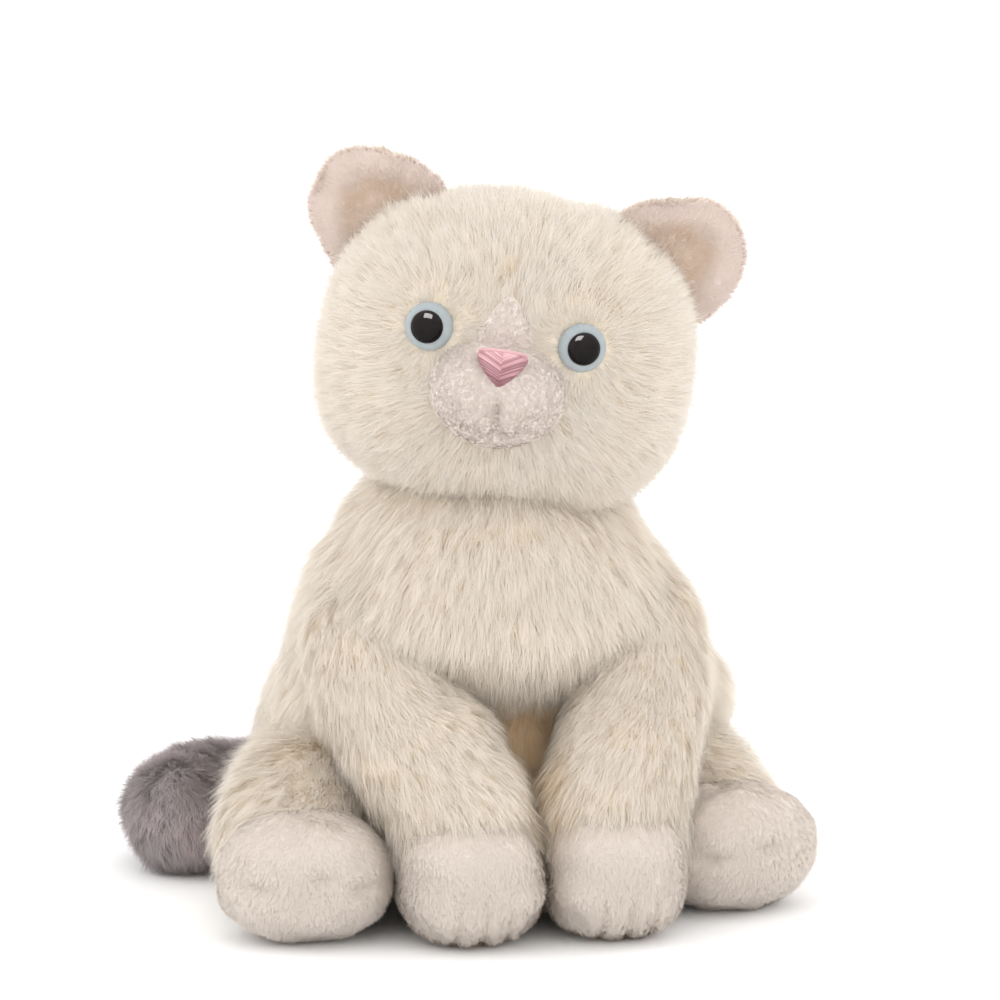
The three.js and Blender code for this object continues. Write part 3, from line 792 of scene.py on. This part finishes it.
def nose_pad(seat):
    points, quads, caps = sphere_grid(48, 24)
    v = np.clip((1 - points[:, 2]) / 2, 0, 1)
    z = NOSE["up"] - NOSE_HEIGHT * v
    x = points[:, 0] / np.maximum(np.hypot(points[:, 0], points[:, 1]), 1e-6) * nose_outline(v)
    y = np.where(points[:, 1] < 0, -nose_rise(x * 0.98, z), 1.2)
    return Surface(np.stack([x, y, z], 1), quads, caps).turned(seat)


def slanting_threads(random):
    """Threads that fall from the middle of the nose to each side, close beside one another."""
    threads = []
    slope = math.tan(STITCH_SLANT)
    for side in SIDES.values():
        for start in np.arange(NOSE["up"] + NOSE["half_width"] * slope, -NOSE["down"], -STITCH_PITCH):
            shift = random.normal(0, 0.08)
            x = np.linspace(NOSE["half_width"], -0.15, 30)
            z = start + shift - (NOSE["half_width"] - x) * slope
            v = (NOSE["up"] - z) / NOSE_HEIGHT
            keep = (v >= 0) & (v <= 0.98) & (x <= nose_outline(v) + 0.1)
            if keep.sum() < 2:
                continue
            x, z = x[keep], z[keep]
            y = -nose_rise(x * 0.97, z) - 0.1 - random.uniform(0, 0.12)
            y[0] += 0.6
            threads.append(np.stack([x * side, y, z], axis=1))
    return threads


def border_threads():
    """Threads that run across the nose's upper edge, over the ends of the others."""
    threads = []
    for row in BORDER_ROWS:
        x = np.linspace(-0.93, 0.93, 40) * NOSE["half_width"]
        z = NOSE["up"] - row + 0.5 * (1 - (x / NOSE["half_width"]) ** 2)
        y = -nose_rise(x * 0.9, z) - 0.3
        threads.append(np.stack([x, y, z], axis=1))
    return threads


def nose():
    # The tints above 1 make some threads far lighter: painted satin highlight, together with random tone
    # from thread to thread.
    satin = pile_material(
        "satin_thread",
        [(0.0, (0.52, 0.24, 0.27)), (0.3, (0.62, 0.33, 0.36)), (1.0, (0.54, 0.26, 0.29))],
        [(0.0, (0.42, 0.30, 0.33)), (0.5, (0.90, 0.85, 0.86)), (1.0, (1.45, 1.75, 1.65))],
        roughness=0.28,
        sheen=0.35,
        glow=0.05,
    )
    satin.node_tree.nodes["Principled BSDF"].inputs["Specular IOR Level"].default_value = 0.9
    pad_cloth = cloth_material("nose_pad", (0.36, 0.12, 0.17), (0.42, 0.16, 0.21), 900, 0.2)
    lean = Matrix.Rotation(-NOSE["lean"], 4, "X")
    front = float(nose_front(0.0, NOSE["z"]))
    seat = HEAD_PLACE @ Matrix.Translation((0, front - 0.2, NOSE["z"])) @ lean
    skin_piece("nose_pad", nose_pad(seat), pad_cloth, "head", ["nose_embroidery"])

    random = np.random.default_rng(90)
    threads = slanting_threads(random) + border_threads()
    stitches = tubes(threads, STITCH_RADIUS, STITCH_SIDES).turned(seat)
    # Higher threads get a higher tone: the nose is painted lighter at the top, a painted satin highlight.
    heights = np.array([path[:, 2].mean() for path in threads])
    tones = random.uniform(0.08, 0.9, len(threads)) + 0.1 * (heights - heights.mean())
    lengths = [len(path) for path in threads]
    u = np.repeat(np.clip(tones, *STITCH_TONES), [STITCH_SIDES * n + 2 for n in lengths])
    v = [np.append(np.repeat(np.linspace(0, 1, n), STITCH_SIDES), (0, 1)) for n in lengths]
    mesh, loops = fill_mesh("nose_stitches", stitches.points, [stitches.quads, stitches.caps])
    map_tones(mesh, loops, np.column_stack([u, np.concatenate(v)]))
    piece = new_object("nose_stitches", mesh, satin)
    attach(piece, "head")


def tubes(paths, radius, sides):
    """Round threads along paths, closed at their ends, as one surface."""
    points, quads, caps = [], [], []
    base = 0
    angle = 2 * math.pi * np.arange(sides) / sides
    for path in paths:
        tangent = unit(np.gradient(path, axis=0))
        side = unit(np.cross(tangent, (0.0, 1.0, 0.0)))
        up = np.cross(side, tangent)
        ring = side[:, None] * np.cos(angle)[None, :, None] + up[:, None] * np.sin(angle)[None, :, None]
        size = np.full(len(path), radius)
        size[[0, -1]] *= 0.5
        points.append((path[:, None] + ring * size[:, None, None]).reshape(-1, 3))
        points.append(path[[0, -1]])
        path_quads, path_caps = ring_faces(len(path), sides, base)
        quads.append(path_quads)
        caps.append(path_caps)
        base += sides * len(path) + 2
    return Surface(np.vstack(points), np.vstack(quads), np.vstack(caps))


# ---- Ears ----
def ear_place(side):
    """Where an ear sits on the head, with local Z towards its tip and local Y to its back."""
    out = np.array((math.sin(EAR["at"]) * side, 0, math.cos(EAR["at"])))
    reach = ((np.abs(out) / HEAD_HALF) ** HEAD_SQUARE).sum() ** (-1 / HEAD_SQUARE)
    tip = Vector((math.sin(EAR["point"]) * side, 0, math.cos(EAR["point"])))
    back = Vector((0, 1, 0))
    turn = Matrix((back.cross(tip), back, tip)).transposed().to_4x4()
    foot = Vector(out * reach) + Vector((0, EAR_BACK, 0))
    foot += Vector((EAR["shift"], 0, -0.8 * side))
    return HEAD_PLACE @ Matrix.Translation(foot) @ turn @ Matrix.Rotation(EAR_OPEN * side, 4, "Z")


def ear_surface(front_face, side):
    """The lining or the back of a cupped ear. Its outer upper corner is fuller than its inner one."""
    points, quads, caps = sphere_grid(96, 48)
    points = points[:, [0, 2, 1]]
    across, thick_side, upward = points.T
    radius = np.hypot(across, upward)
    turn = np.arctan2(upward, across)
    outer = np.sin(2 * turn) * side * (upward > 0)
    square = 2 + 0.25 * np.maximum(0, outer) + 0.45 * np.minimum(0, outer)
    reach = (np.abs(np.cos(turn)) ** square + np.abs(np.sin(turn)) ** square) ** (-1 / square)
    x = across * reach * EAR["half_base"]
    z = upward * reach * np.where(upward > 0, EAR["height"], EAR["root"])
    rim = bump(radius, 0.72, 0.13) * smooth_step(upward, -0.1, 0.3)
    hollow = EAR_HOLLOW * (1 - radius**2) - 3.0 + 0.08 * np.maximum(z, 0) - 1.0 * rim
    layer = -1 if front_face else 1
    y = hollow + (thick_side + layer) * EAR_THICKNESS
    surface = Surface(np.stack([x, y, z], 1), quads[:, ::-1], caps[:, ::-1])
    surface.push(0.5 * waves(surface.points, 16, 20 + side))
    rim_limit = -0.5 if front_face else 0.05
    surface.cover = (thick_side * layer > rim_limit) * 1.0
    edge = smooth_step(radius, 0.4, 0.9)
    if front_face:
        surface.flow = np.stack([across, 0 * x, upward + 0.3], 1)
        # The lining is darker towards the middle of its hollow: painted shade in the hollow.
        surface.tone = 0.08 + 0.7 * edge + 0.1 * waves(surface.points, 12, 22)
    else:
        surface.flow = np.tile((0.0, 0.0, 1.0), (len(x), 1)) + np.stack([x * 0.03, 0 * x, 0 * x], 1)
        surface.length = 0.75 - 0.45 * edge
        surface.tone += 0.2
    return surface.turned(ear_place(side))


def ears():
    for name, side in SIDES.items():
        ear = f"ear_{name}"
        lining, back = ear_surface(True, side), ear_surface(False, side)
        furred(f"{ear}_lining", lining, LINING_FUR, ear, [f"{ear}_lining"], seed=30 + side, skin="cloth")
        furred(f"{ear}_back", back, EAR_BACK_FUR, ear, [f"{ear}_back"], seed=33 + side, skin="cloth")


# ---- Torso ----
RUFF_RISE = 6.0
BELLY_RISE = 13.0
LEFT_BULGE = 8.5
RIGHT_BULGE = 2.5
SHOULDER_BARE = 15
HIP_BARE = 20


def torso_surface():
    """The torso through its rings, with a ruff, a belly and fuller sides, bare where the legs join it."""
    points, quads, caps = sphere_grid(120, 110)
    upward = 1 - np.arccos(np.clip(points[:, 2], -1, 1)) / math.pi
    rings = spline(TORSO_RINGS, upward)
    turn = np.arctan2(points[:, 1], points[:, 0])
    around = np.stack([np.cos(turn), np.sin(turn)], axis=1)
    square = 2 + 1.1 * bump(rings[:, :1], 48, 32)
    around = around * (np.abs(around) ** square).sum(axis=1, keepdims=True) ** (-1 / square)
    middle = (rings[:, 2] + rings[:, 3]) / 2
    depth = (rings[:, 3] - rings[:, 2]) / 2
    x = around[:, 0] * rings[:, 1]
    y = middle + around[:, 1] * depth
    z = rings[:, 0]
    ruff = bump(x, 0, 26) * bump(z, 86, 15) * (y < 0)
    belly = bump(x, 0, 13) * bump(z, 44, 22) * (y < 0)
    y = y - RUFF_RISE * ruff - BELLY_RISE * belly
    left_side = LEFT_BULGE * bump(z, 62, 15) * smooth_step(x, 20, 60)
    right_side = RIGHT_BULGE * bump(z, 72, 20) * smooth_step(-x, 20, 60)
    x = x + left_side + right_side
    surface = Surface(np.stack([x, y, z], 1), quads, caps)
    surface.push(1.2 * waves(surface.points, 45, 41))
    on_floor(surface)
    front = (surface.points[:, 1] < -30) * 1.0
    surface.flow = np.stack([0.012 * x, -0.25 * front, np.full(len(x), -1.0)], axis=1)
    surface.cover = smooth_step(z, 1.0, 3.0) * fade(z, 137, 140)
    for side in SIDES.values():
        for centre, radius in ((SHOULDER, SHOULDER_BARE), (HIP, HIP_BARE)):
            distance = np.linalg.norm(surface.points - on_side(centre, side), axis=1)
            surface.cover = surface.cover * smooth_step(distance, radius - 3, radius)
    # belly_shade marks the belly below the ruff, between the front legs: its tone is lowered towards orange
    # tan, a painted warm shade, and its pile is shorter there.
    belly_shade = front * fade(z, 66, 80) * bump(x, 0, 26)
    outward = fade(z, 40, 80)[:, None] * (0.5, 0, 0) * np.sign(x)[:, None]
    surface.tone = 0.64 + 0.06 * waves(surface.points, 42, 42) - 0.56 * belly_shade
    surface.length = 1 + 0.15 * bump(z, 82, 14) * front - 0.25 * belly_shade
    surface.flow = surface.flow + outward
    return surface


def torso():
    surface = torso_surface()
    furred("body", surface, CREAM_FUR, "torso", ["body_skin"], seed=40)


# ---- Legs, paws and feet ----
PAW_TOP = 30  # a front leg's long pile starts at this height, and its paw's short pile shows below it
TOE_LINES = (-7.5, 1.0, 9.0)
TOE_DEPTH = 1.8
THUMB_RISE = 2.2
SOLE_PULLS = ((-16, 1), (2, 4), (15, 0))  # places of the pulled threads on a foot's sole
PULL_DEPTH = 2.3
# How much lower the tone is on the inner sides of paws and feet and near the floor: painted shade.
UNDER_SHADE = 0.22


def inside_torso(points):
    """How deep points lie inside the torso, from 0 outside to 1 well within."""
    z = np.array([ring[0] for ring in TORSO_RINGS[1:]])
    width, front, back = (np.array([ring[k] for ring in TORSO_RINGS[1:]]) for k in (1, 2, 3))
    height = points[:, 2]
    half = np.interp(height, z, width)
    near, far = np.interp(height, z, front), np.interp(height, z, back)
    across = points[:, 0] / half
    along = (points[:, 1] - (near + far) / 2) / ((far - near) / 2)
    return fade(np.hypot(across, along), 0.72, 0.85)


# 1 at the floor, fading out by 6 mm up: where painted shade is laid on paws and feet.
def near_floor_shade(surface):
    return fade(surface.points[:, 2], 1, 6)


def front_leg(name, side):
    body = f"front_leg_{name}"
    leg = limb(on_side(FRONT_LEG, side), FRONT_LEG_RADII)
    leg.push(0.9 * waves(leg.points, 26, 50 + side))
    on_floor(leg, 24)
    height = leg.points[:, 2]
    leg.cover = (1 - inside_torso(leg.points)) * smooth_step(height, PAW_TOP, PAW_TOP + 3)
    leg.flow = leg.flow * (1.0, 0.6, 1.0)
    leg.length = 0.85 + 0.25 * fade(height, PAW_TOP + 1, PAW_TOP + 15)
    leg.lift = 1 + 1.1 * fade(height, PAW_TOP + 1, PAW_TOP + 12)
    # The arm's inner side, towards the chest, gets a lower tone: painted shade between the arm and the body.
    inner = fade(side * leg.points[:, 0], 5, 17)
    leg.tone = 0.66 + 0.06 * waves(leg.points, 34, 52 + side) - 0.35 * inner
    furred(body, leg, CREAM_FUR, body, [f"{body}_sleeve"], seed=54 + side)

    paw = oval(PAW_HALF, square=2.7, columns=96, rows=72)
    x, y, z = paw.points.T
    low_front = smooth_step(-y, 8, 20) * fade(z, -8, 2)
    toes = sum(bump(x, line, 1.5) for line in TOE_LINES)
    thumb = bump(x + 15 * side, 0, 5.5) * bump(z, -3, 4.5) * smooth_step(-y, 5, 15)
    paw.push(THUMB_RISE * thumb - TOE_DEPTH * toes * low_front + 0.3 * waves(paw.points, 12, 57 + side))
    paw.points = paw.points + on_side([PAW_CENTRE], side)
    on_floor(paw, SOLE_HEIGHT)
    paw.flow = np.tile((0.0, -0.6, -1.0), (len(x), 1))
    # Lower tone in the toe grooves, on the paw's inner side and near the floor: painted shade.
    inner = fade(side * paw.points[:, 0], 2, 6)
    paw.tone = 0.55 - 0.2 * toes * low_front - UNDER_SHADE * np.maximum(inner, near_floor_shade(paw))
    paw.lift = 1 - 0.5 * smooth_step(z, 4, 14)
    node = f"front_paw_{name}"
    furred(node, paw, PAW_FUR, body, [node], seed=60 + side)


def hind_leg(name, side):
    body = f"hind_leg_{name}"
    hip = on_side([HIP], side)[0]
    foot_at = np.array(FOOT_CENTRE[side], float)
    middle = (hip + foot_at) / 2 + (5 * side, 0, 0.5)
    leg = limb([hip, middle, foot_at], THIGH_RADII[side])
    leg.push(0.9 * waves(leg.points, 28, 63 + side))
    on_floor(leg)
    behind = smooth_step(leg.points[:, 1], foot_at[1] + 1, foot_at[1] + 4)
    leg.cover = (1 - inside_torso(leg.points)) * behind * smooth_step(leg.points[:, 2], 0.5, 2)
    leg.flow = leg.flow * 0.6 + (0.4 * side, 0, -0.8)
    leg.lift = 1 + 0.35 * smooth_step(leg.points[:, 2], 34, 46)
    leg.tone = 0.64 + 0.06 * waves(leg.points, 34, 65 + side)
    furred(body, leg, CREAM_FUR, body, [f"{body}_skin"], seed=67 + side)

    foot = oval(FOOT_HALF, square=2.25, columns=96, rows=72)
    x, y, z = foot.points.T
    sole = smooth_step(-y, 6, 16)
    pulls = sum(bump(np.hypot((x - a) * 0.5, z - b), 0, 2.6) for a, b in SOLE_PULLS)
    foot.push(-PULL_DEPTH * pulls * sole)
    foot.push(0.4 * waves(foot.points, 13, 70 + side))
    foot.turned(Matrix.Translation(foot_at) @ Matrix.Rotation(FOOT_YAW[side], 4, "Z"))
    on_floor(foot, SOLE_HEIGHT)
    foot.flow = np.stack([0.03 * x, np.full(len(x), -0.2), np.full(len(x), -1.0)], axis=1)
    # Lower tone in the sole's pulled dimples, on the foot's inner side and near the floor: painted shade.
    inner = fade(side * x, -26, -20)
    foot.tone = 0.55 - 0.12 * pulls * sole - UNDER_SHADE * np.maximum(inner, near_floor_shade(foot))
    foot.lift = 1 - 0.5 * smooth_step(z, 4, 14)
    node = f"hind_foot_{name}"
    furred(node, foot, PAW_FUR, body, [node], seed=74 + side)


# ---- Tail ----
TAIL_INSET = 1.4  # the backing lies this far inside the tail's outline, and its pile fills the rest


def tail():
    surface = on_floor(limb(TAIL_PATH, TAIL_RADII, 48, 90))
    surface.push(0.4 * waves(surface.points, 24, 80) - TAIL_INSET)
    on_floor(surface)
    surface.cover = (1 - inside_torso(surface.points)) * smooth_step(surface.points[:, 2], 0.5, 2)
    surface.flow = surface.flow + smooth_step(surface.along, 0.9, 1)[:, None] * (0.3, 0.6, -0.9)
    surface.tone = 0.5 + 0.25 * waves(surface.points, 16, 81)
    furred("tail", surface, TAIL_FUR, "tail", ["tail_skin"], seed=82)


# ---- CAD pieces that stay: filling, washers, seat and seam ----
def keep_cad_pieces():
    """Give the CAD pieces that nothing replaces a material of their slot."""
    fibre = cloth_material("fibre_filling", (0.86, 0.86, 0.84), (0.95, 0.95, 0.93), 260, 0.8)
    cotton = cloth_material("woven_cotton", (0.80, 0.77, 0.69), (0.88, 0.85, 0.78), 1500, 0.2)
    thread = cloth_material("sewing_thread", (0.80, 0.74, 0.64), (0.90, 0.85, 0.76), 1800, 0.2, 0.6)
    washer = cloth_material("washer_plastic", (0.80, 0.80, 0.80), (0.84, 0.84, 0.84), 400, 0.05, 0.45)
    finishes = {
        "fibre_fill": fibre,
        "cotton_cloth": cotton,
        "seam_thread": thread,
        "washer_plastic": washer,
        "short_pile": ivory_cloth,
    }
    slots = {sub["node"]: sub["material_slot"] for sub in frame["record"]["subparts"]}
    for node, slot in slots.items():
        piece = bpy.data.objects.get(node)
        if piece is None or slot not in finishes:
            continue
        piece.data.materials.clear()
        piece.data.materials.append(finishes[slot])


# ---- Floor, light and camera: places in metres ----
VIEW = {"azimuth": math.radians(12), "elevation": math.radians(9), "distance": 1.6}
AIM = Vector((0.0003, -0.030, 0.1278))
LENS_MM = 180
SENSOR_MM = 36


def floor():
    mesh = bpy.data.meshes.new("floor")
    reach = 6  # metres
    corners = [(-reach, -reach, 0), (reach, -reach, 0), (reach, reach, 0), (-reach, reach, 0)]
    mesh.from_pydata(corners, [], [(0, 1, 2, 3)])
    paper, nodes, links, shader = node_material("studio_paper", 0.9)
    shader.inputs["Specular IOR Level"].default_value = 0.1
    tones = [(0.0, (0.96, 0.96, 0.96)), (1.0, (0.98, 0.98, 0.98))]
    links.new(ramp(nodes, links, noise_grain(nodes, links, 40), tones), shader.inputs["Base Color"])
    new_object("floor", mesh, paper)


def aimed(thing, place, target):
    """Put a light or camera at a place, in metres, and turn it to face a target."""
    thing.location = place
    thing.rotation_euler = (Vector(target) - Vector(place)).to_track_quat("-Z", "Y").to_euler()


def area_light(name, place, target, size, power, colour):
    data = bpy.data.lights.new(name, "AREA")
    data.shape = "SQUARE"
    data.size = size
    data.energy = power
    data.color = colour
    light = new_object(name, data)
    aimed(light, place, target)
    return light


WORLD_STRENGTH = 1.27
SOFTBOX_TARGET = (0, -0.03, 0.12)
# Each softbox: name, place, side in metres, power in watts and colour.
SOFTBOXES = [
    ("key_softbox", (0.75, -1.3, 0.75), 0.7, 1.5, (1, 0.98, 0.95)),
    ("fill_softbox", (-0.45, -1.5, 0.15), 0.9, 1.2, (1, 0.98, 0.95)),
    ("top_softbox", (-0.6, -0.2, 1.3), 0.8, 0.8, (1, 0.99, 0.97)),
    ("side_softbox_left", (1.2, 0.2, 0.7), 0.8, 2.6, (1, 0.99, 0.97)),
    ("side_softbox_right", (-1.2, 0.2, 0.7), 0.8, 2.6, (1, 0.99, 0.97)),
]


def studio():
    """A white surround and soft lights that leave no glints."""
    world = bpy.data.worlds.new("studio_white")
    bpy.context.scene.world = world
    world.use_nodes = True
    background = world.node_tree.nodes["Background"]
    background.inputs["Color"].default_value = (1, 1, 1, 1)
    background.inputs["Strength"].default_value = WORLD_STRENGTH
    for name, place, size, power, colour in SOFTBOXES:
        light = area_light(name, place, SOFTBOX_TARGET, size, power, colour)
        light.visible_glossy = False
    bpy.context.scene.view_settings.view_transform = "Standard"


def catch_light(domes):
    """A softbox above the camera that only the pupils reflect, as a white square on each."""
    place, target = (-0.27, -0.5, 1.05), (0, -0.07, 0.18)
    light = area_light("eye_softbox", place, target, size=0.7, power=75, colour=(1, 1, 1))
    pupils = bpy.data.collections.new("pupils_lit")
    for piece in domes:
        pupils.objects.link(piece)
    light.light_linking.receiver_collection = pupils


def camera():
    """A long lens, a little above the kitten and to its right."""
    data = bpy.data.cameras.new("camera")
    data.lens = LENS_MM
    data.sensor_width = SENSOR_MM
    view = new_object("camera", data)
    around, rise, far = VIEW["azimuth"], VIEW["elevation"], VIEW["distance"]
    back = Vector((-math.sin(around) * math.cos(rise), -math.cos(around) * math.cos(rise), math.sin(rise)))
    aimed(view, AIM + back * far, AIM)
    bpy.context.scene.camera = view


camera()
studio()
floor()
keep_cad_pieces()
torso()
head()
muzzle()
catch_light(eyes())
nose()
ears()
for name, side in SIDES.items():
    front_leg(name, side)
    hind_leg(name, side)
tail()
